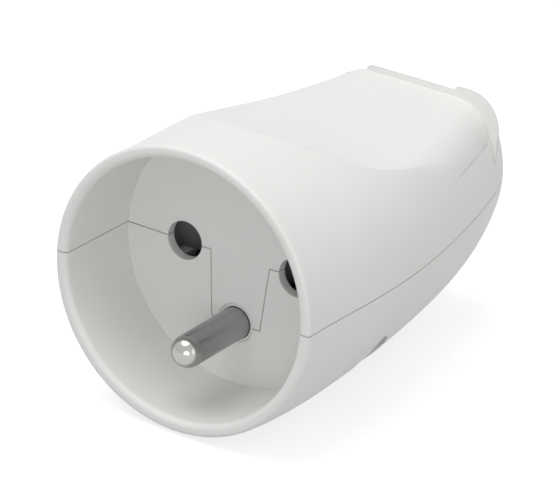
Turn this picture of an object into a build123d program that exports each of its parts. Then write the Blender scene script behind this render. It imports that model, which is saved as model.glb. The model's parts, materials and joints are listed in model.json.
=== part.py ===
# In-line cable socket, two poles and an earth pin, in a housing of two half shells.
# Origin: the centre of the face that the plug seats on. The mouth faces -Y, the cord
# leaves along +Y, +X runs along the two apertures, and the shells part on Z = 0.
from build123d import *
import os
from math import radians, tan

os.makedirs("parts", exist_ok=True)

# Fits
seam_gap = 0.12
running_gap = 0.3
seat_gap = 0.1
screw_gap = 0.05

# Socket interface
recess_depth = 15.0
recess_radius = 19.45
plate_thickness = 1.6
aperture_spacing = 19.0
aperture_radius = 2.93
earth_offset = 10.0
earth_pin_radius = 2.4
earth_pin_projection = 14.4
earth_pin_hole_radius = 2.9
rim_wall = 1.85

# Housing outline: half widths and half heights of its oval sections
body_length = 67.0
wall = 1.8
belly_side_swell = 0.4
belly_height_swell = 0.2
belly_drop = 0.4
belly_from_rim = 15.0
waist_side_taper = 0.2
waist_height_taper = 0.7
waist_from_rim = 32.0
hip_half_width = 18.95
hip_half_height = 20.0
hip_from_back = 21.0
tail_half_width = 16.2
tail_half_height = 18.5
tail_from_back = 9.0
back_half_width = 13.1
back_half_height = 14.0
rim_outer_round = 0.5
rim_inner_round = 0.9
back_round = 3.0

# Flat along the underside, which rises towards the back
rest_cut = 0.65
rest_rise_angle = 3.3

# Grip pad on top, and behind it a lip with a raised shoulder at its right-hand end
grip_from_rim = 12.9
grip_front_height = 20.8
grip_ramp_angle = 27.0
grip_ramp_run = 8.6
grip_floor_from_back = 21.6
grip_floor_height = 12.6
grip_heel_height = 13.3
grip_heel_rise = 0.09
lip_length = 7.0
lip_height = 14.3
lip_half_width = 8.2
lip_stand = 1.8
lip_corner = 1.2
lip_taper = 24.0
lip_back_bevel = 0.8
shoulder_inner_x = 7.0
shoulder_outer_x = 15.2
shoulder_height = 15.0
shoulder_corner = 5.5
shoulder_length = 6.5
shoulder_back_outer_x = 10.8
shoulder_back_height = 9.8
shoulder_back_corner = 2.0
neck_length = 37.0
neck_crease_height = 8.0
neck_corner = 6.3
neck_front_half_width = 21.3
neck_middle_half_width = 17.6
neck_back_half_width = 13.8
neck_front_height = 13.6

# Tongue of the upper shell, down to the earth pin
tongue_top_half_width = 4.95
tongue_bottom_half_width = 4.05

# Cord inlet
inlet_radius = 4.75
inlet_length = 5.0
inlet_round = 0.5

# Casing screws
casing_screw_radius = 1.5
casing_head_radius = 2.8
casing_head_height = 2.0
casing_head_seat = -7.0
casing_screw_tip = 8.0
casing_hole_spare = 0.5
boss_wall = 1.5
front_screw_from_side = 5.2
front_screw_y = 8.4
rear_screw_from_side = 6.8
rear_screw_from_back = 8.0
screw_slot_width = 0.8
screw_slot_depth = 0.9

# Shutter
shutter_thickness = 4.0
shutter_half_width = 13.0
shutter_bottom = 3.5
shutter_top = 4.5
shutter_travel = 6.5
ramp_half_width = 3.4
ramp_top = 3.2
ramp_depth = 3.2
shutter_peg_radius = 1.1
shutter_peg_height = 2.4
guide_wall = 1.2
guide_lip = 1.0
stop_width = 2.0
spring_wire = 0.4
spring_radius = 1.75
spring_turns = 4.0
spring_seat_height = 14.0
spring_seat_half_width = 2.6

# Contacts
strip = 0.7
contact_front = 7.8
contact_throat = 10.0
contact_back = 17.0
contact_mouth = 3.0
contact_neck = 2.2
contact_height = 5.6
clip_strip = 0.5
clip_width = 5.0
clip_front = 11.0
clip_leg = 2.3

# Terminals
block_width = 7.2
block_length = 8.6
block_height = 7.4
block_edge = 0.3
wire_hole_radius = 1.7
pole_wire_hole_depth = 7.0
earth_wire_hole_depth = 5.0
terminal_screw_radius = 1.6
terminal_screw_depth = 2.5
terminal_head_radius = 2.6
terminal_head_height = 1.8
terminal_head_lift = 1.2
rivet_radius = 1.3
rivet_head_radius = 1.9
rivet_head_height = 0.5
earth_collar_radius = 3.6
earth_collar_thickness = 1.5
earth_tail_radius = 2.05
earth_tail_start = -0.1
earth_block_front = 8.0
earth_tail_depth = 2.8
earth_socket_depth = 3.0
cradle_wall = 1.1
cradle_height = 3.4
cradle_stop_height = 1.5

# Cord clamp
clamp_from_back = 14.5
clamp_length = 6.0
clamp_half_width = 11.6
clamp_seat = -1.0
clamp_top = 5.2
clamp_corner = 1.2
clamp_arch_radius = 3.9
clamp_saddle_radius = 4.3
clamp_screw_x = 8.2
clamp_screw_radius = 1.5
clamp_head_radius = 2.7
clamp_head_height = 1.8
clamp_screw_length = 9.0

# Places worked out from the sizes above
rim_y = -recess_depth
back_y = rim_y + body_length
rim_radius = recess_radius + rim_wall
belly_half_width = rim_radius + belly_side_swell
belly_half_height = rim_radius + belly_height_swell
waist_half_width = rim_radius - waist_side_taper
waist_half_height = rim_radius - waist_height_taper
rest_height = belly_half_height + belly_drop - rest_cut
cavity_back = back_y - inlet_length
grip_floor_y = back_y - grip_floor_from_back
lip_y = back_y - lip_length
front_screw_x = belly_half_width - front_screw_from_side
rear_screw_x = tail_half_width - rear_screw_from_side
rear_screw_y = back_y - rear_screw_from_back
clamp_y = back_y - clamp_from_back
pole_x = aperture_spacing / 2
seam = seam_gap / 2
shutter_front = plate_thickness + running_gap
shutter_back = shutter_front + shutter_thickness
guide_back = shutter_back + running_gap
rail_inner = shutter_half_width + running_gap
rail_outer = rail_inner + guide_wall
block_front = contact_back + strip
block_back = block_front + block_length
earth_block_back = earth_block_front + block_length
boss_radius = casing_screw_radius + screw_gap + boss_wall
counterbore_radius = casing_head_radius + running_gap
far = 2 * body_length
everywhere = (-far, far)
poles = {"live": pole_x, "neutral": -pole_x}
casing_screws = {
    "casing_screw_front_left": (-front_screw_x, front_screw_y),
    "casing_screw_front_right": (front_screw_x, front_screw_y),
    "casing_screw_rear_left": (-rear_screw_x, rear_screw_y),
    "casing_screw_rear_right": (rear_screw_x, rear_screw_y),
}
clamp_screws = {"clamp_screw_left": -clamp_screw_x, "clamp_screw_right": clamp_screw_x}

# Oval sections: place, half width, half height, height of the centre
stations = [
    (rim_y, rim_radius, rim_radius, 0),
    (rim_y + belly_from_rim, belly_half_width, belly_half_height, -belly_drop),
    (rim_y + waist_from_rim, waist_half_width, waist_half_height, 0),
    (back_y - hip_from_back, hip_half_width, hip_half_height, 0),
    (back_y - tail_from_back, tail_half_width, tail_half_height, 0),
    (back_y, back_half_width, back_half_height, 0),
]


def across(y):
    # The plane square to the socket's axis, seen from the mouth: it grows towards -Y.
    return Plane.XZ.offset(-y)


def bar(x_range, y_range, z_range, mode=Mode.ADD):
    # A straight block between two values along each axis.
    spans = [high - low for low, high in (x_range, y_range, z_range)]
    with Locations((x_range[0], y_range[0], z_range[0])):
        Box(*spans, align=Align.MIN, mode=mode)


def post(radius, x, y, z_range, mode=Mode.ADD):
    # A round post or hole along Z.
    with Locations((x, y, z_range[0])):
        Cylinder(radius, z_range[1] - z_range[0], align=(Align.CENTER, Align.CENTER, Align.MIN), mode=mode)


def rod(radius, x, z, y_range, mode=Mode.ADD):
    # A round rod or hole along Y.
    with Locations(Plane((x, y_range[0], z), z_dir=(0, 1, 0))):
        Cylinder(radius, y_range[1] - y_range[0], align=(Align.CENTER, Align.CENTER, Align.MIN), mode=mode)


def above_grip(inset):
    # All that lies above the grip pad and the lip behind it, or a wall below them.
    start = rim_y + grip_from_rim
    slope = tan(radians(grip_ramp_angle))
    lip_foot = lip_height - lip_stand - inset
    back_height = lip_foot - lip_length * tan(radians(lip_taper))
    top = grip_front_height - inset
    step_y = lip_y + inset
    with BuildPart() as region:
        with BuildSketch(Plane.YZ):
            with BuildLine():
                lead = Line(
                    (rim_y, top + grip_from_rim * slope),
                    (start + grip_ramp_run, top - grip_ramp_run * slope),
                )
                floor = Spline(
                    lead @ 1,
                    (grip_floor_y, grip_floor_height - inset),
                    (step_y, grip_heel_height - inset),
                    tangents=((1, -slope), (1, grip_heel_rise)),
                )
                Polyline(
                    floor @ 1,
                    (step_y, lip_foot),
                    (back_y, back_height),
                    (far, back_height),
                    (far, far),
                    (rim_y, far),
                    lead @ 0,
                )
            make_face()
        extrude(amount=far, both=True)
    return region.part


def beside_neck(inset):
    # All that lies outside the soft long edges of the grip, above the crease on its sides.
    front = back_y - neck_length
    back = lip_y + inset
    with BuildPart() as neck:
        for y, half_width, height in (
            (front, neck_front_half_width, neck_front_height),
            (grip_floor_y, neck_middle_half_width, grip_floor_height),
            (back, neck_back_half_width, grip_heel_height),
        ):
            with BuildSketch(across(y)) as section:
                with Locations((0, (height - inset) / 2)):
                    Rectangle(2 * (half_width - inset), height - inset)
                fillet(section.vertices().group_by(Axis.Y)[-1], neck_corner - inset)
        loft()
    with BuildPart() as region:
        with BuildSketch(Plane.XY.offset(neck_crease_height - inset)):
            with Locations((0, (front + back) / 2)):
                Rectangle(far, back - front)
        extrude(amount=far)
        add(neck.part, mode=Mode.SUBTRACT)
    return region.part


def below_rest(inset):
    # All that lies below the flat that the socket rests on.
    rise = far * tan(radians(rest_rise_angle))
    with BuildPart() as region:
        with BuildSketch(Plane.YZ.offset(-far)):
            with BuildLine():
                Polyline(
                    (-far, inset - rest_height - rise),
                    (far, inset - rest_height + rise),
                    (far, -far),
                    (-far, -far),
                    close=True,
                )
            make_face()
        extrude(amount=2 * far)
    return region.part


def body_form(inset):
    # The housing's outer form without its lip, or the same form a wall further in.
    space_above = above_grip(inset)
    space_beside = beside_neck(inset)
    space_below = below_rest(inset)
    with BuildPart() as form:
        for y, half_width, half_height, z in stations:
            with BuildSketch(across(y)):
                with Locations((0, z)):
                    Ellipse(half_width - inset, half_height - inset)
        loft()
        add(space_above, mode=Mode.SUBTRACT)
        add(space_beside, mode=Mode.SUBTRACT)
        add(space_below, mode=Mode.SUBTRACT)
    return form.part


def guide_rail(side, z_range, mode):
    # One hooked rail behind the face plate, on the side given as 1 or -1.
    inner = side * rail_inner
    outer = side * rail_outer
    hook = side * (rail_inner - guide_lip)
    bar((min(inner, outer), max(inner, outer)), (plate_thickness - wall / 2, guide_back), z_range, mode)
    bar((min(hook, outer), max(hook, outer)), (guide_back, guide_back + guide_wall), z_range, mode)


def cradle(x, front, back, bottom, mode_wall, mode_pocket):
    # A block's seat on the lower shell, with cheeks beside it and a stop behind.
    half = block_width / 2 + seat_gap
    outer = half + cradle_wall
    rear = back + seat_gap
    bar((x - outer, x + outer), (front, rear), (-far, bottom + cradle_height), mode_wall)
    bar((x - outer, x + outer), (rear, rear + cradle_wall), (-far, bottom + cradle_stop_height), mode_wall)
    bar((x - half, x + half), (front, rear), (bottom, bottom + cradle_height), mode_pocket)


def screw(x, y, seat, tip, radius, head_radius, head_height):
    # A cheese-head screw along Z with a straight slot, its head on the seat.
    outward = 1 if seat > tip else -1
    head_end = seat + outward * head_height
    with BuildPart() as piece:
        post(head_radius, x, y, (min(seat, head_end), max(seat, head_end)))
        post(radius, x, y, (min(seat, tip), max(seat, tip)))
        with BuildSketch(Plane.XY.offset(head_end)):
            with Locations((x, y)):
                Rectangle(2 * head_radius, screw_slot_width)
        extrude(amount=-outward * screw_slot_depth, mode=Mode.SUBTRACT)
    return piece


def terminal_block(x, front, z, screw_y, hole_depth):
    # A terminal block bored from the rear for the wire and tapped from above for its screw.
    back = front + block_length
    with BuildPart() as block:
        bar(
            (x - block_width / 2, x + block_width / 2),
            (front, back),
            (z - block_height / 2, z + block_height / 2),
        )
        chamfer(block.edges().filter_by(Axis.Y), block_edge)
        rod(wire_hole_radius, x, z, (back - hole_depth, back), Mode.SUBTRACT)
        post(terminal_screw_radius + screw_gap, x, screw_y, (z, z + block_height), Mode.SUBTRACT)
    return block


def terminal_screw(x, y, z):
    # The screw of a block whose centre is at the height z, backed off to let a wire in.
    top = z + block_height / 2
    return screw(
        x,
        y,
        top + terminal_head_lift,
        top - terminal_screw_depth,
        terminal_screw_radius,
        terminal_head_radius,
        terminal_head_height,
    )


def pole_contact(x):
    # The folded strip that grips a pin of the plug between two leaves.
    neck_line = contact_neck + strip / 2
    mouth_line = contact_mouth + strip / 2
    web_line = contact_back + strip / 2
    with BuildPart() as contact:
        with BuildSketch(Plane.XY):
            with BuildLine():
                FilletPolyline(
                    (x + mouth_line, contact_front),
                    (x + neck_line, contact_throat),
                    (x + neck_line, web_line),
                    (x - neck_line, web_line),
                    (x - neck_line, contact_throat),
                    (x - mouth_line, contact_front),
                    radius=strip,
                )
            trace(line_width=strip)
        extrude(amount=contact_height / 2, both=True)
        rod(rivet_radius + screw_gap, x, 0, (contact_back, block_front), Mode.SUBTRACT)
    return contact


def contact_clip(x):
    # The spring clip that straddles both leaves and keeps them closed.
    leg = contact_neck + strip + screw_gap + clip_strip / 2
    top = contact_height / 2 + screw_gap + clip_strip / 2
    with BuildPart() as clip:
        with BuildSketch(across(clip_front)):
            with BuildLine():
                FilletPolyline(
                    (x - leg, -clip_leg),
                    (x - leg, top),
                    (x + leg, top),
                    (x + leg, -clip_leg),
                    radius=clip_strip,
                )
            trace(line_width=clip_strip)
        extrude(amount=-clip_width)
    return clip


outer_form = body_form(0)
inner_form = body_form(wall)

with BuildPart() as cavity:
    add(inner_form)
    bar(everywhere, (plate_thickness, cavity_back), everywhere, Mode.INTERSECT)

# The lip that ends the grip pad, which falls away to the back
with BuildPart() as lip:
    with BuildSketch(across(lip_y)) as lip_section:
        with Locations((0, lip_height / 2)):
            Rectangle(2 * lip_half_width, lip_height)
        fillet(lip_section.vertices().group_by(Axis.Y)[-1], lip_corner)
    extrude(amount=-lip_length, taper=lip_taper)
    chamfer(lip.faces().sort_by(Axis.Y)[-1].edges().sort_by(Axis.Z)[-1], lip_back_bevel)

# The raised shoulder at the right-hand end of the lip, which sinks into the back
with BuildPart() as shoulder:
    for y, outer_x, height, corner in (
        (lip_y, shoulder_outer_x, shoulder_height, shoulder_corner),
        (lip_y + shoulder_length, shoulder_back_outer_x, shoulder_back_height, shoulder_back_corner),
    ):
        with BuildSketch(across(y)) as section:
            with Locations((shoulder_inner_x, 0)):
                Rectangle(outer_x - shoulder_inner_x, height, align=Align.MIN)
            fillet(section.vertices().group_by(Axis.Y)[-1].sort_by(Axis.X)[-1], corner)
            fillet(section.vertices().group_by(Axis.Y)[-1].sort_by(Axis.X)[0], lip_corner)
    loft()

# The whole housing in one piece, before it is parted and hollowed
with BuildPart() as housing:
    add(outer_form)
    fillet(housing.faces().sort_by(Axis.Y)[-1].edges(), back_round)
    add(lip.part)
    add(shoulder.part)
    fillet(housing.faces().sort_by(Axis.Y)[0].edges(), rim_outer_round)
    rod(recess_radius, 0, 0, (rim_y, 0), Mode.SUBTRACT)
    fillet(housing.faces().sort_by(Axis.Y)[0].inner_wires()[0].edges(), rim_inner_round)
    rod(inlet_radius, 0, 0, (cavity_back - wall, back_y), Mode.SUBTRACT)
    fillet(housing.faces().sort_by(Axis.Y)[-1].inner_wires()[0].edges(), inlet_round)
    for pole in poles.values():
        rod(aperture_radius, pole, 0, (0, plate_thickness), Mode.SUBTRACT)
    rod(earth_pin_hole_radius, 0, -earth_offset, (0, plate_thickness), Mode.SUBTRACT)

# Each shell's side of the seam: the upper one carries a tongue that reaches down the face
# plate to the earth pin, and the lower one has the slot for it
with BuildSketch(across(-wall)) as tongue_outline:
    with BuildLine():
        Polyline(
            (tongue_top_half_width, wall),
            (tongue_top_half_width, 0),
            (tongue_bottom_half_width, -earth_offset),
            (-tongue_bottom_half_width, -earth_offset),
            (-tongue_top_half_width, 0),
            (-tongue_top_half_width, wall),
            close=True,
        )
    make_face()

with BuildSketch(across(-wall)) as slot_outline:
    add(tongue_outline.sketch)
    offset(amount=seam_gap, kind=Kind.INTERSECTION)

with BuildPart() as upper_side:
    bar(everywhere, everywhere, (seam, far))
    extrude(tongue_outline.sketch, amount=plate_thickness + 2 * wall, dir=(0, 1, 0))

with BuildPart() as lower_side:
    bar(everywhere, everywhere, (-far, -seam))
    extrude(slot_outline.sketch, amount=plate_thickness + 2 * wall, dir=(0, 1, 0), mode=Mode.SUBTRACT)

# What is hollow in the upper shell: the cavity less its bosses, ribs and rails
with BuildPart() as upper_hollow:
    add(cavity.part)
    for x, y in casing_screws.values():
        post(boss_radius, x, y, (0, far), Mode.SUBTRACT)
    for side in (1, -1):
        guide_rail(side, (0, shutter_top + shutter_travel + running_gap), Mode.SUBTRACT)
    bar(
        (-spring_seat_half_width, spring_seat_half_width),
        (0, guide_back),
        (spring_seat_height, far),
        Mode.SUBTRACT,
    )
    bar(
        (-pole_x - block_width / 2, pole_x + block_width / 2),
        (block_front, block_front + guide_wall),
        (block_height / 2 + seat_gap, far),
        Mode.SUBTRACT,
    )

with BuildPart() as upper_shell:
    add(housing.part)
    add(upper_side.part, mode=Mode.INTERSECT)
    add(upper_hollow.part, mode=Mode.SUBTRACT)
    for x, y in casing_screws.values():
        post(casing_screw_radius + screw_gap, x, y, (0, casing_screw_tip + casing_hole_spare), Mode.SUBTRACT)
upper_shell.part.label = "upper_shell"
export_step(upper_shell.part, "parts/upper_shell.step")

# What is hollow in the lower shell: the cavity less its columns, rails, cradles and saddle
with BuildPart() as lower_hollow:
    add(cavity.part)
    for x, y in casing_screws.values():
        post(boss_radius, x, y, (-far, 0), Mode.SUBTRACT)
        post(counterbore_radius + boss_wall, x, y, (-far, casing_head_seat + boss_wall), Mode.SUBTRACT)
    stop_top = -shutter_bottom - seat_gap
    stop_bottom = stop_top - guide_wall
    for side in (1, -1):
        guide_rail(side, (stop_bottom, 0), Mode.SUBTRACT)
        stop_ends = sorted((side * (rail_inner - stop_width), side * rail_outer))
        bar(stop_ends, (0, guide_back), (stop_bottom, stop_top), Mode.SUBTRACT)
    for pole in poles.values():
        cradle(pole, block_front, block_back, -block_height / 2, Mode.SUBTRACT, Mode.ADD)
    earth_bottom = -earth_offset - block_height / 2
    cradle(0, earth_block_front, earth_block_back, earth_bottom, Mode.SUBTRACT, Mode.ADD)
    saddle_front = clamp_y - clamp_length / 2
    saddle_back = clamp_y + clamp_length / 2
    bar(
        (-clamp_half_width, clamp_half_width),
        (saddle_front, saddle_back),
        (-far, clamp_seat),
        Mode.SUBTRACT,
    )
    rod(clamp_saddle_radius, 0, 0, (saddle_front, saddle_back), Mode.ADD)

with BuildPart() as lower_shell:
    add(housing.part)
    add(lower_side.part, mode=Mode.INTERSECT)
    add(lower_hollow.part, mode=Mode.SUBTRACT)
    for x, y in casing_screws.values():
        post(casing_screw_radius + running_gap, x, y, (-far, 0), Mode.SUBTRACT)
        post(counterbore_radius, x, y, (-far, casing_head_seat), Mode.SUBTRACT)
    for x in clamp_screws.values():
        hole_bottom = clamp_top - clamp_screw_length - casing_hole_spare
        post(clamp_screw_radius + screw_gap, x, clamp_y, (hole_bottom, 0), Mode.SUBTRACT)
lower_shell.part.label = "lower_shell"
export_step(lower_shell.part, "parts/lower_shell.step")

for name, (x, y) in casing_screws.items():
    casing_screw = screw(
        x, y, casing_head_seat, casing_screw_tip, casing_screw_radius, casing_head_radius, casing_head_height
    )
    casing_screw.part.label = name
    export_step(casing_screw.part, f"parts/{name}.step")

# The earth pin: a round nose, a collar caught behind the face plate, and a tail for its block
tip_centre = earth_pin_radius - earth_pin_projection
collar_front = plate_thickness + seat_gap
collar_back = collar_front + earth_collar_thickness
tail_end = earth_block_front + earth_tail_depth
with BuildPart() as earth_pin:
    with BuildSketch(Plane.XY.offset(-earth_offset)):
        with BuildLine():
            nose = CenterArc((0, tip_centre), earth_pin_radius, -90, 90)
            Polyline(
                nose @ 1,
                (earth_pin_radius, earth_tail_start),
                (earth_tail_radius, earth_tail_start),
                (earth_tail_radius, collar_front),
                (earth_collar_radius, collar_front),
                (earth_collar_radius, collar_back),
                (earth_tail_radius, collar_back),
                (earth_tail_radius, tail_end),
                (0, tail_end),
                nose @ 0,
            )
        make_face()
    revolve(axis=Axis((0, 0, -earth_offset), (0, 1, 0)))
earth_pin.part.label = "earth_pin"
export_step(earth_pin.part, "parts/earth_pin.step")

earth_screw_y = earth_block_back - terminal_head_radius
earth_block = terminal_block(0, earth_block_front, -earth_offset, earth_screw_y, earth_wire_hole_depth)
with BuildPart() as earth_terminal:
    add(earth_block.part)
    rod(
        earth_tail_radius + screw_gap,
        0,
        -earth_offset,
        (earth_block_front, earth_block_front + earth_socket_depth),
        Mode.SUBTRACT,
    )
earth_terminal.part.label = "earth_terminal"
export_step(earth_terminal.part, "parts/earth_terminal.step")

earth_terminal_screw = terminal_screw(0, earth_screw_y, -earth_offset)
earth_terminal_screw.part.label = "earth_terminal_screw"
export_step(earth_terminal_screw.part, "parts/earth_terminal_screw.step")

for pole_name, pole in poles.items():
    contact = pole_contact(pole)
    contact.part.label = f"{pole_name}_contact"
    export_step(contact.part, f"parts/{pole_name}_contact.step")

    clip = contact_clip(pole)
    clip.part.label = f"{pole_name}_contact_clip"
    export_step(clip.part, f"parts/{pole_name}_contact_clip.step")

    pole_screw_y = (block_front + block_back) / 2
    block = terminal_block(pole, block_front, 0, pole_screw_y, pole_wire_hole_depth)
    with BuildPart() as terminal:
        add(block.part)
        rod(rivet_radius, pole, 0, (contact_back, block_front))
        rod(rivet_head_radius, pole, 0, (contact_back - rivet_head_height, contact_back))
    terminal.part.label = f"{pole_name}_terminal"
    export_step(terminal.part, f"parts/{pole_name}_terminal.step")

    pole_screw = terminal_screw(pole, pole_screw_y, 0)
    pole_screw.part.label = f"{pole_name}_terminal_screw"
    export_step(pole_screw.part, f"parts/{pole_name}_terminal_screw.step")

# The shutter: a slide that blocks both apertures and is lifted by the plug's pins on its ramps
with BuildPart() as shutter:
    bar(
        (-shutter_half_width, shutter_half_width),
        (shutter_front, shutter_back),
        (-shutter_bottom, shutter_top),
    )
    post(
        shutter_peg_radius,
        0,
        (shutter_front + shutter_back) / 2,
        (shutter_top, shutter_top + shutter_peg_height),
    )
    for pole in poles.values():
        with BuildSketch(Plane.YZ.offset(pole)):
            with BuildLine():
                Polyline(
                    (shutter_front, ramp_top),
                    (shutter_front + ramp_depth, -shutter_bottom),
                    (shutter_front, -shutter_bottom),
                    close=True,
                )
            make_face()
        extrude(amount=ramp_half_width, both=True, mode=Mode.SUBTRACT)
shutter.part.label = "shutter"
export_step(shutter.part, "parts/shutter.step")

spring_bottom = shutter_top + seat_gap + spring_wire / 2
spring_height = spring_seat_height - seat_gap - spring_wire / 2 - spring_bottom
with BuildPart() as shutter_spring:
    with BuildLine():
        coil = Helix(
            spring_height / spring_turns,
            spring_height,
            spring_radius,
            center=(0, (shutter_front + shutter_back) / 2, spring_bottom),
        )
    with BuildSketch(Plane(coil @ 0, z_dir=coil % 0)):
        Circle(spring_wire / 2)
    sweep(is_frenet=True)
shutter_spring.part.label = "shutter_spring"
export_step(shutter_spring.part, "parts/shutter_spring.step")

with BuildPart() as cord_clamp:
    with BuildSketch(across(saddle_front)) as clamp_section:
        with Locations((0, (clamp_seat + clamp_top) / 2)):
            Rectangle(2 * clamp_half_width, clamp_top - clamp_seat)
        fillet(clamp_section.vertices().group_by(Axis.Y)[-1], clamp_corner)
        Circle(clamp_arch_radius, mode=Mode.SUBTRACT)
    extrude(amount=-clamp_length)
    for x in clamp_screws.values():
        post(clamp_screw_radius + screw_gap, x, clamp_y, (clamp_seat, clamp_top), Mode.SUBTRACT)
cord_clamp.part.label = "cord_clamp"
export_step(cord_clamp.part, "parts/cord_clamp.step")

for name, x in clamp_screws.items():
    clamp_screw = screw(
        x,
        clamp_y,
        clamp_top,
        clamp_top - clamp_screw_length,
        clamp_screw_radius,
        clamp_head_radius,
        clamp_head_height,
    )
    clamp_screw.part.label = name
    export_step(clamp_screw.part, f"parts/{name}.step")
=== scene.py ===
import json
from math import radians

import bpy
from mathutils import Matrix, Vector


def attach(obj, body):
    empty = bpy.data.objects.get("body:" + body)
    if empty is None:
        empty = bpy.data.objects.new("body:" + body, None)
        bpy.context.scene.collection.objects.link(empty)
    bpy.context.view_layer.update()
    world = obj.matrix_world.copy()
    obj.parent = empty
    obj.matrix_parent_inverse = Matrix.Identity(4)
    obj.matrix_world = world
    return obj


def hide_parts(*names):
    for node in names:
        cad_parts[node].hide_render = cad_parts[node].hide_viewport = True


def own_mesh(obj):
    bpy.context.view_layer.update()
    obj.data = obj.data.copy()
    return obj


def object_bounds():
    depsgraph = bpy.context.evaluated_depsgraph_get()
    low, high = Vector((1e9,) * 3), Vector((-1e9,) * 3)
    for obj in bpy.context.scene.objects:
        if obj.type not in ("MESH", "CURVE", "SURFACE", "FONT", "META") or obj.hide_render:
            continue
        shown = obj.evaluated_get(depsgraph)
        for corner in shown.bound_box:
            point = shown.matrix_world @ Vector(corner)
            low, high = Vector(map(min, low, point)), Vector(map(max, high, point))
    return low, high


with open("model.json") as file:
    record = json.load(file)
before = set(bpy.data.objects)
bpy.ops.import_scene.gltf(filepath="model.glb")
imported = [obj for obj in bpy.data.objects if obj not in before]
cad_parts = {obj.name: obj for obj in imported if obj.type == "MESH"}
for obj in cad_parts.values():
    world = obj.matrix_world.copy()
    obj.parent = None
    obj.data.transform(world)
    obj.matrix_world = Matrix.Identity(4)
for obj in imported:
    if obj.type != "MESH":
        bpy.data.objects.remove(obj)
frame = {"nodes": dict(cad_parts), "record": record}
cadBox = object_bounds()
print("frame loaded:", len(frame["nodes"]), "nodes")

mm = 0.001  # the scene is in metres, real sizes are written in millimetres
quarterTurn = radians(90)


# Colours and nodes

# a Mix node's sockets share their names, so they are called by number
mixFactor, mixFromColour, mixToColour, mixedColour = 0, 6, 7, 2
mixFromNumber, mixToNumber, mixedNumber = 2, 3, 0

noiseLow, noiseHigh = 0.3, 0.7  # most of a noise texture's values lie between these


def hexColour(code, alpha=1.0):
    # sRGB hex to the linear values that Blender works in
    channels = []
    for i in (0, 2, 4):
        value = int(code.lstrip("#")[i:i + 2], 16) / 255
        channels.append(value / 12.92 if value <= 0.04045 else ((value + 0.055) / 1.055) ** 2.4)
    return (*channels, alpha)


def addNode(tree, kind, settings=None, inputs=None):
    # one node, with its own settings, fixed inputs and links from other nodes' sockets
    node = tree.nodes.new(kind)
    for name, value in (settings or {}).items():
        setattr(node, name, value)
    for socket, value in (inputs or {}).items():
        if isinstance(value, bpy.types.NodeSocket):
            tree.links.new(value, node.inputs[socket])
        else:
            node.inputs[socket].default_value = value
    return node


def newMaterial(name):
    # an empty node material with its output, ready for a shader
    material = bpy.data.materials.new(name)
    material.use_nodes = True
    tree = material.node_tree
    tree.nodes.clear()
    return material, tree, addNode(tree, "ShaderNodeOutputMaterial")


def perMetre(sizeMm):
    # a noise texture's scale for features of this size
    return 1 / (sizeMm * mm)


# Materials

mouldedPlastic = {
    "housing": {
        "colour": "#ececea", "shade": "#e7e7e5", "roughness": (0.44, 0.54), "glow": 0.06,
        "edgeMm": 0.25, "grainMm": 0.22, "grainDepthMm": 0.006, "flowMm": 9.0, "flowDepthMm": 0.02,
        # round the grip the form's corners are much softer than at the rim and the seams;
        # each pair says where the zone fades in, in mm
        "softZone": {"edgeMm": 1.3, "riseZ": (3.5, 6.5), "startY": (4.0, 9.0), "endY": (44.6, 43.6)},
    },
    "shutter": {
        "colour": "#717274", "shade": "#656668", "roughness": (0.42, 0.55), "glow": 0.0,
        "edgeMm": 0.2, "grainMm": 0.25, "grainDepthMm": 0.008, "flowMm": 6.0, "flowDepthMm": 0.01,
    },
    "clamp": {
        "colour": "#dcdcd8", "shade": "#d4d4cf", "roughness": (0.4, 0.5), "glow": 0.04,
        "edgeMm": 0.3, "grainMm": 0.25, "grainDepthMm": 0.008, "flowMm": 6.0, "flowDepthMm": 0.01,
    },
}

plasticBody = {
    "ior": 1.49,
    "glowReach": (1.0, 0.9, 0.8), "glowDepthMm": 1.2,  # how far light spreads under the skin
    "cornerSamples": 6,
}


def softZoneRadius(tree, place, look):
    # the corner radius grows to its soft value inside the zone round the grip
    zone = look["softZone"]
    axes = addNode(tree, "ShaderNodeSeparateXYZ", {}, {"Vector": place})
    inside = 1.0
    for axis, start, end in (("Z", *zone["riseZ"]), ("Y", *zone["startY"]), ("Y", *zone["endY"])):
        fade = addNode(tree, "ShaderNodeMapRange", {"interpolation_type": "SMOOTHSTEP"}, {
            "Value": axes.outputs[axis], "From Min": start * mm, "From Max": end * mm})
        inside = addNode(tree, "ShaderNodeMath", {"operation": "MULTIPLY"}, {
            0: inside, 1: fade.outputs["Result"]}).outputs["Value"]
    return addNode(tree, "ShaderNodeMapRange", {}, {
        "Value": inside, "To Min": look["edgeMm"] * mm,
        "To Max": zone["edgeMm"] * mm}).outputs["Result"]


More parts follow.
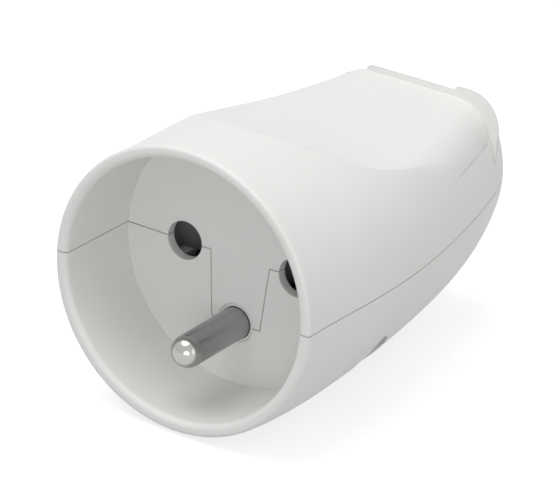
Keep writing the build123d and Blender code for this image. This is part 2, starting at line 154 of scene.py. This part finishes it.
def makeMouldedPlastic(name, look):
    # Injection-moulded plastic: an even satin skin that copies the mould's fine
    # spark-eroded grain, with slow sink waves that bend the highlights a little and
    # corners that the mould leaves soft, so that they catch the light without a hard line
    material, tree, output = newMaterial(name)
    place = addNode(tree, "ShaderNodeTexCoord").outputs["Object"]
    flow = addNode(tree, "ShaderNodeTexNoise", {}, {
        "Vector": place, "Scale": perMetre(look["flowMm"]), "Detail": 2.0, "Roughness": 0.4})
    grain = addNode(tree, "ShaderNodeTexNoise", {}, {
        "Vector": place, "Scale": perMetre(look["grainMm"]), "Detail": 3.0, "Roughness": 0.6})
    tint = addNode(tree, "ShaderNodeMix", {"data_type": "RGBA"}, {
        mixFactor: flow.outputs["Fac"],
        mixFromColour: hexColour(look["colour"]), mixToColour: hexColour(look["shade"])})
    gloss = addNode(tree, "ShaderNodeMapRange", {}, {
        "Value": grain.outputs["Fac"], "From Min": noiseLow, "From Max": noiseHigh,
        "To Min": look["roughness"][0], "To Max": look["roughness"][1]})
    corners = addNode(tree, "ShaderNodeBevel", {"samples": plasticBody["cornerSamples"]}, {
        "Radius": look["edgeMm"] * mm})
    if "softZone" in look:
        corners.inputs["Radius"].default_value = 0
        tree.links.new(softZoneRadius(tree, place, look), corners.inputs["Radius"])
    waves = addNode(tree, "ShaderNodeBump", {}, {
        "Height": flow.outputs["Fac"], "Distance": look["flowDepthMm"] * mm, "Strength": 1.0,
        "Normal": corners.outputs["Normal"]})
    skin = addNode(tree, "ShaderNodeBump", {}, {
        "Height": grain.outputs["Fac"], "Distance": look["grainDepthMm"] * mm, "Strength": 0.7,
        "Normal": waves.outputs["Normal"]})
    shader = addNode(tree, "ShaderNodeBsdfPrincipled", {}, {
        "Base Color": tint.outputs[mixedColour], "Roughness": gloss.outputs["Result"],
        "IOR": plasticBody["ior"], "Normal": skin.outputs["Normal"],
        "Subsurface Weight": look["glow"], "Subsurface Radius": plasticBody["glowReach"],
        "Subsurface Scale": plasticBody["glowDepthMm"] * mm})
    tree.links.new(shader.outputs["BSDF"], output.inputs["Surface"])
    return material


workedMetal = {
    "zinc": {
        "colour": "#c4c6c8", "dull": "#a4a7ab", "roughness": (0.22, 0.4), "stretch": (1, 1, 0.3),
        "grainMm": 0.2, "depthMm": 0.004, "spotMm": 1.6,
    },
    "springSteel": {
        "colour": "#a8a9ab", "dull": "#8a8a8c", "roughness": (0.2, 0.34), "stretch": (1, 1, 1),
        "grainMm": 0.12, "depthMm": 0.002, "spotMm": 1.2,
    },
    "rolledBrass": {
        "colour": "#d2b06a", "dull": "#b08d4b", "roughness": (0.22, 0.38), "stretch": (1, 0.1, 1),
        "grainMm": 0.18, "depthMm": 0.003, "spotMm": 2.2,
    },
    "turnedBrass": {
        "colour": "#d0ad68", "dull": "#aa874a", "roughness": (0.18, 0.34), "stretch": (0.2, 1, 1),
        "grainMm": 0.2, "depthMm": 0.004, "spotMm": 2.8,
    },
}

dullLow, dullHigh = 0.4, 0.75  # the noise values over which the dull patches fade in


def makeWorkedMetal(name, look):
    # Drawn, rolled or turned metal: fine lines along the way it was worked, and slow
    # patches where the surface has dulled
    material, tree, output = newMaterial(name)
    place = addNode(tree, "ShaderNodeTexCoord").outputs["Object"]
    lines = addNode(tree, "ShaderNodeMapping", {}, {"Vector": place, "Scale": look["stretch"]})
    grain = addNode(tree, "ShaderNodeTexNoise", {}, {
        "Vector": lines.outputs["Vector"], "Scale": perMetre(look["grainMm"]), "Detail": 2.0})
    spots = addNode(tree, "ShaderNodeTexNoise", {}, {
        "Vector": place, "Scale": perMetre(look["spotMm"]), "Detail": 4.0, "Roughness": 0.6})
    patches = addNode(tree, "ShaderNodeMapRange", {}, {
        "Value": spots.outputs["Fac"], "From Min": dullLow, "From Max": dullHigh})
    tint = addNode(tree, "ShaderNodeMix", {"data_type": "RGBA"}, {
        mixFactor: patches.outputs["Result"],
        mixFromColour: hexColour(look["colour"]), mixToColour: hexColour(look["dull"])})
    gloss = addNode(tree, "ShaderNodeMapRange", {}, {
        "Value": spots.outputs["Fac"], "From Min": noiseLow, "From Max": noiseHigh,
        "To Min": look["roughness"][0], "To Max": look["roughness"][1]})
    skin = addNode(tree, "ShaderNodeBump", {}, {
        "Height": grain.outputs["Fac"], "Distance": look["depthMm"] * mm, "Strength": 0.6})
    shader = addNode(tree, "ShaderNodeBsdfPrincipled", {}, {
        "Base Color": tint.outputs[mixedColour], "Roughness": gloss.outputs["Result"],
        "Metallic": 1.0, "Normal": skin.outputs["Normal"]})
    tree.links.new(shader.outputs["BSDF"], output.inputs["Surface"])
    return material


earthPin = {
    "noseStartMm": -12.0, "noseFadeMm": 0.1,  # the round nose is ahead of this place along Y
    "nose": "#b2b1af", "noseRoughness": 0.18,
    "shank": "#aeaeaf", "shankDark": "#98999b", "shankRoughness": (0.3, 0.42), "wearMm": 1.1,
    "drawLineMm": 0.14, "drawStretch": 0.05, "drawDepthMm": 0.003,
}


def makeNickelPlate():
    # Nickel-plated brass: a shank dulled by fine drawn lines along its length, and a nose
    # that plugs have rubbed bright
    look = earthPin
    material, tree, output = newMaterial("nickelPlatedBrass")
    place = addNode(tree, "ShaderNodeTexCoord").outputs["Object"]
    axes = addNode(tree, "ShaderNodeSeparateXYZ", {}, {"Vector": place})
    nose = addNode(tree, "ShaderNodeMapRange", {"interpolation_type": "SMOOTHSTEP"}, {
        "Value": axes.outputs["Y"],
        "From Min": (look["noseStartMm"] + look["noseFadeMm"]) * mm,
        "From Max": (look["noseStartMm"] - look["noseFadeMm"]) * mm})
    stretched = addNode(tree, "ShaderNodeMapping", {}, {
        "Vector": place, "Scale": (1, look["drawStretch"], 1)})
    lines = addNode(tree, "ShaderNodeTexNoise", {}, {
        "Vector": stretched.outputs["Vector"], "Scale": perMetre(look["drawLineMm"]), "Detail": 3.0})
    wear = addNode(tree, "ShaderNodeTexNoise", {}, {
        "Vector": stretched.outputs["Vector"], "Scale": perMetre(look["wearMm"]), "Detail": 3.0})
    shank = addNode(tree, "ShaderNodeMix", {"data_type": "RGBA"}, {
        mixFactor: wear.outputs["Fac"],
        mixFromColour: hexColour(look["shank"]), mixToColour: hexColour(look["shankDark"])})
    colour = addNode(tree, "ShaderNodeMix", {"data_type": "RGBA"}, {
        mixFactor: nose.outputs["Result"],
        mixFromColour: shank.outputs[mixedColour], mixToColour: hexColour(look["nose"])})
    shankGloss = addNode(tree, "ShaderNodeMapRange", {}, {
        "Value": wear.outputs["Fac"], "From Min": noiseLow, "From Max": noiseHigh,
        "To Min": look["shankRoughness"][0], "To Max": look["shankRoughness"][1]})
    gloss = addNode(tree, "ShaderNodeMix", {"data_type": "FLOAT"}, {
        mixFactor: nose.outputs["Result"],
        mixFromNumber: shankGloss.outputs["Result"], mixToNumber: look["noseRoughness"]})
    skin = addNode(tree, "ShaderNodeBump", {}, {
        "Height": lines.outputs["Fac"], "Distance": look["drawDepthMm"] * mm, "Strength": 0.5})
    shader = addNode(tree, "ShaderNodeBsdfPrincipled", {}, {
        "Base Color": colour.outputs[mixedColour], "Roughness": gloss.outputs[mixedNumber],
        "Metallic": 1.0, "Normal": skin.outputs["Normal"]})
    tree.links.new(shader.outputs["BSDF"], output.inputs["Surface"])
    return material


finishes = {
    "housing_plastic": makeMouldedPlastic("mouldedPolypropyleneWhite", mouldedPlastic["housing"]),
    "shutter_plastic": makeMouldedPlastic("mouldedPolyamideDarkGrey", mouldedPlastic["shutter"]),
    "clamp_plastic": makeMouldedPlastic("mouldedPolypropyleneClamp", mouldedPlastic["clamp"]),
    "pin_nickel": makeNickelPlate(),
    "screw_steel": makeWorkedMetal("zincPlatedSteel", workedMetal["zinc"]),
    "clip_steel": makeWorkedMetal("temperedSpringSteel", workedMetal["springSteel"]),
    "spring_steel": makeWorkedMetal("springWire", workedMetal["springSteel"]),
    "contact_brass": makeWorkedMetal("rolledBrass", workedMetal["rolledBrass"]),
    "terminal_brass": makeWorkedMetal("turnedBrass", workedMetal["turnedBrass"]),
}

nodeSlots = {entry["node"]: entry["material_slot"] for entry in frame["record"]["subparts"]}
for nodeName, node in frame["nodes"].items():
    for slot in node.material_slots:
        slot.material = finishes[nodeSlots[nodeName]]
print("materials made:", len(finishes))


# Collar of the earth pin: the moulded edge that closes the plate's hole round the shank

pinCollar = {
    "axisMm": (0, -10.0),  # X and Z of the pin's axis
    "innerRadiusMm": 2.47, "outerRadiusMm": 2.88,
    "frontMm": 0.03, "backMm": 1.5,
    "segments": 96,
    "endFacing": 0.9,  # the ring's two ends are the faces that look along Y more than this
    "chamferMm": 0.05, "chamferSegments": 2, "chamferAngle": 40,
    "smoothAngle": 35,
}


def makePinCollar():
    look = pinCollar
    x, z = look["axisMm"]
    bpy.ops.object.select_all(action="DESELECT")
    bpy.ops.mesh.primitive_cylinder_add(
        vertices=look["segments"], radius=look["outerRadiusMm"] * mm,
        depth=(look["backMm"] - look["frontMm"]) * mm, rotation=(quarterTurn, 0, 0),
        location=(x * mm, (look["frontMm"] + look["backMm"]) / 2 * mm, z * mm))
    collar = bpy.context.object
    collar.name = "pinCollar"
    bpy.ops.object.transform_apply(location=True, rotation=True)
    bpy.ops.object.mode_set(mode="EDIT")
    bpy.ops.mesh.select_mode(type="FACE")
    bpy.ops.mesh.select_all(action="DESELECT")
    bpy.ops.object.mode_set(mode="OBJECT")
    for face in collar.data.polygons:
        face.select = abs(face.normal.y) > look["endFacing"]
    bpy.ops.object.mode_set(mode="EDIT")
    bpy.ops.mesh.inset(
        thickness=(look["outerRadiusMm"] - look["innerRadiusMm"]) * mm, use_individual=True)
    bpy.ops.mesh.bridge_edge_loops()  # the two inset discs become the bore
    bpy.ops.mesh.select_all(action="SELECT")
    bpy.ops.mesh.normals_make_consistent(inside=False)
    bpy.ops.object.mode_set(mode="OBJECT")
    chamfer = collar.modifiers.new("chamfer", "BEVEL")
    chamfer.width = look["chamferMm"] * mm
    chamfer.segments = look["chamferSegments"]
    chamfer.angle_limit = radians(look["chamferAngle"])
    bpy.ops.object.modifier_apply(modifier="chamfer")
    bpy.ops.object.shade_smooth_by_angle(angle=radians(look["smoothAngle"]))
    collar.data.materials.append(finishes["housing_plastic"])
    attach(collar, "housing")


makePinCollar()
print("pin collar made")


# Return spring of the shutter: it pushes down from its seat; in the socket it shortens as the pins
# lift the shutter, but here the coil is made at one fixed length

returnSpring = {
    "axisMm": (0, 3.9),  # X and Y of the coil's axis
    "lowMm": 4.6, "highMm": 13.9,
    "radiusMm": 1.75, "wireMm": 0.4, "wireSides": 12,
    "activeTurns": 4, "closedTurns": 1, "closedPitchMm": 0.42,
    "stepsPerTurn": 24,
    "keep": 0.3,
    "smoothAngle": 40,
}


def coilRise(turn, look):
    # height of the wire's centre after so many turns: closed, then open, then closed again
    closed, active = look["closedTurns"], look["activeTurns"]
    pitch = look["closedPitchMm"]
    openRise = look["highMm"] - look["lowMm"] - look["wireMm"] - 2 * closed * pitch
    middle = min(max(turn - closed, 0), active)
    return pitch * (turn - middle) + openRise * middle / active


def makeReturnSpring():
    look = returnSpring
    turns = look["activeTurns"] + 2 * look["closedTurns"]
    x, y = look["axisMm"]
    bpy.ops.object.select_all(action="DESELECT")
    bpy.ops.mesh.primitive_circle_add(
        vertices=look["wireSides"], radius=look["wireMm"] / 2 * mm,
        rotation=(quarterTurn, 0, 0), location=(look["radiusMm"] * mm, 0, 0))
    spring = bpy.context.object
    spring.name = "returnSpringCoil"
    bpy.ops.object.transform_apply(location=True, rotation=True)
    coil = spring.modifiers.new("coil", "SCREW")
    coil.angle = radians(360 * turns)
    coil.screw_offset = turns * look["closedPitchMm"] * mm
    coil.steps = turns * look["stepsPerTurn"]
    coil.render_steps = coil.steps
    bpy.ops.object.modifier_apply(modifier="coil")
    for vertex in spring.data.vertices:  # the turns between the closed ends open up
        turn = vertex.index // look["wireSides"] / look["stepsPerTurn"]
        vertex.co.z += (coilRise(turn, look) - turn * look["closedPitchMm"]) * mm
    bpy.ops.object.mode_set(mode="EDIT")
    bpy.ops.mesh.select_mode(type="EDGE")
    bpy.ops.mesh.select_all(action="DESELECT")
    bpy.ops.mesh.select_non_manifold()
    bpy.ops.mesh.fill_holes(sides=0)  # closes the wire's two ends, whatever their sides
    bpy.ops.mesh.select_all(action="SELECT")
    bpy.ops.mesh.normals_make_consistent(inside=False)
    bpy.ops.object.mode_set(mode="OBJECT")
    spring.location = (x * mm, y * mm, (look["lowMm"] + look["wireMm"] / 2) * mm)
    bpy.ops.object.transform_apply(location=True)
    bpy.ops.object.shade_smooth_by_angle(angle=radians(look["smoothAngle"]))
    spring.data.materials.append(finishes["spring_steel"])
    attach(spring, "housing")
    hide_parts("shutter_spring")
    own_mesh(spring)


makeReturnSpring()
print("return spring made")


# Upper shell: a copy on which the grip pad runs on where its neck starts, and the corner
# at the lip's left end stays below the pad

upperShell = {
    # the step across the pad: points this near its place, between these heights, go up
    "neckStartMm": 15.0, "neckReachMm": 0.1, "neckHeightMm": (13.3, 13.65), "neckLiftMm": 0.058,
    # the corner: points left of this X and behind the lip's start, between these heights, go down
    "cornerXMm": -10.4, "lipStartMm": 44.95, "cornerHeightMm": (12.2, 12.55), "cornerDropMm": 0.4,
    "mergeMm": 0.001,
    "smoothAngle": 20,  # low enough to keep the crease at the pad's front end
}


def makeUpperShell():
    look = upperShell
    node = frame["nodes"]["upper_shell"]
    bpy.ops.object.select_all(action="DESELECT")
    bpy.context.view_layer.objects.active = node
    node.select_set(True)
    bpy.ops.object.duplicate()
    shell = bpy.context.object
    shell.name = "upperShellSmooth"
    bpy.ops.object.mode_set(mode="EDIT")
    bpy.ops.mesh.select_all(action="SELECT")
    bpy.ops.mesh.customdata_custom_splitnormals_clear()
    bpy.ops.mesh.remove_doubles(threshold=look["mergeMm"] * mm)
    bpy.ops.object.mode_set(mode="OBJECT")
    neckLow, neckHigh = look["neckHeightMm"]
    cornerLow, cornerHigh = look["cornerHeightMm"]
    for vertex in shell.data.vertices:
        x, y, z = vertex.co / mm
        if abs(y - look["neckStartMm"]) < look["neckReachMm"] and neckLow < z < neckHigh:
            vertex.co.z += look["neckLiftMm"] * mm
        if x < look["cornerXMm"] and y > look["lipStartMm"] and cornerLow < z < cornerHigh:
            vertex.co.z -= look["cornerDropMm"] * mm
    bpy.ops.object.shade_smooth_by_angle(angle=radians(look["smoothAngle"]))
    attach(shell, "housing")
    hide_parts("upper_shell")


makeUpperShell()
print("upper shell smoothed")


# Camera, from the photograph: its place was solved on the rim, the apertures and the pin

camera = {
    "place": (0.24897, -0.39539, 0.21453),  # metres
    "turn": (65.434, -3.879, 33.287),  # degrees
    "focalPixels": 3639, "imageWidth": 560,
    "sensorMm": 36,
    "near": 0.01, "far": 20,
}


def makeCamera():
    data = bpy.data.cameras.new("photoCamera")
    data.sensor_width = camera["sensorMm"]
    data.lens = camera["sensorMm"] * camera["focalPixels"] / camera["imageWidth"]
    data.clip_start = camera["near"]
    data.clip_end = camera["far"]
    photoCamera = bpy.data.objects.new("photoCamera", data)
    photoCamera.location = camera["place"]
    photoCamera.rotation_euler = [radians(angle) for angle in camera["turn"]]
    bpy.context.scene.collection.objects.link(photoCamera)
    bpy.context.scene.camera = photoCamera


makeCamera()
print("camera placed")


# Floor, backdrop and light, with sizes in metres and power in watts

studio = {
    "floorSize": 6.0,
    "floorColour": "#b6b6b6",
    "whiteLift": 0.72,
    "skyColour": "#ffffff",
    "worldStrength": 0.5,
    "lamps": [
        {"name": "topSoftbox", "place": (-0.15, -0.15, 0.75), "aim": (0, 0.01, 0),
         "size": 0.7, "power": 3.4},
        {"name": "frontSoftbox", "place": (0.38, -0.78, 0.04), "aim": (0, 0, 0),
         "size": 0.6, "power": 2.0},
        {"name": "sideSoftbox", "place": (0.75, -0.1, 0.2), "aim": (0, 0.01, 0),
         "size": 0.6, "power": 0.8},
    ],
}


def seenDirectly(tree):
    # 1 for camera, mirror and glass rays, 0 for the rays that light the object
    path = addNode(tree, "ShaderNodeLightPath")
    mirrored = addNode(tree, "ShaderNodeMath", {"operation": "MAXIMUM"}, {
        0: path.outputs["Is Camera Ray"], 1: path.outputs["Is Glossy Ray"]})
    return addNode(tree, "ShaderNodeMath", {"operation": "MAXIMUM"}, {
        0: mirrored.outputs["Value"], 1: path.outputs["Is Transmission Ray"]}).outputs["Value"]


def makeFloor():
    # pale paper under the object: it keeps the shadow and reads as white around it
    lowest = cadBox[0][2]
    bpy.ops.object.select_all(action="DESELECT")
    bpy.ops.mesh.primitive_plane_add(size=studio["floorSize"], location=(0, 0, lowest))
    floor = bpy.context.object
    floor.name = "studioFloor"
    bpy.ops.object.transform_apply(location=True)
    material, tree, output = newMaterial("studioPaper")
    paper = addNode(tree, "ShaderNodeBsdfDiffuse", {}, {"Color": hexColour(studio["floorColour"])})
    lift = addNode(tree, "ShaderNodeMath", {"operation": "MULTIPLY"}, {
        0: seenDirectly(tree), 1: studio["whiteLift"]})
    glow = addNode(tree, "ShaderNodeEmission", {}, {"Strength": lift.outputs["Value"]})
    both = addNode(tree, "ShaderNodeAddShader", {}, {
        0: paper.outputs["BSDF"], 1: glow.outputs["Emission"]})
    tree.links.new(both.outputs["Shader"], output.inputs["Surface"])
    floor.data.materials.append(material)


def makeWorld():
    # a sky that is white to the eye and weaker as a light
    world = bpy.data.worlds.new("studioWorld")
    bpy.context.scene.world = world
    world.use_nodes = True
    tree = world.node_tree
    tree.nodes.clear()
    output = addNode(tree, "ShaderNodeOutputWorld")
    strength = addNode(tree, "ShaderNodeMapRange", {}, {
        "Value": seenDirectly(tree), "To Min": studio["worldStrength"], "To Max": 1.0})
    sky = addNode(tree, "ShaderNodeBackground", {}, {
        "Color": hexColour(studio["skyColour"]), "Strength": strength.outputs["Result"]})
    tree.links.new(sky.outputs["Background"], output.inputs["Surface"])


def makeLamp(lamp):
    data = bpy.data.lights.new(lamp["name"], "AREA")
    data.shape = "DISK"
    data.size = lamp["size"]
    data.energy = lamp["power"]
    softbox = bpy.data.objects.new(lamp["name"], data)
    softbox.location = lamp["place"]
    aim = Vector(lamp["aim"]) - Vector(lamp["place"])
    softbox.rotation_euler = aim.to_track_quat("-Z", "Y").to_euler()
    bpy.context.scene.collection.objects.link(softbox)


makeFloor()
makeWorld()
for lamp in studio["lamps"]:
    makeLamp(lamp)
print("studio lit:", len(studio["lamps"]), "lamps")


bpy.context.scene.view_settings.view_transform = "Standard"
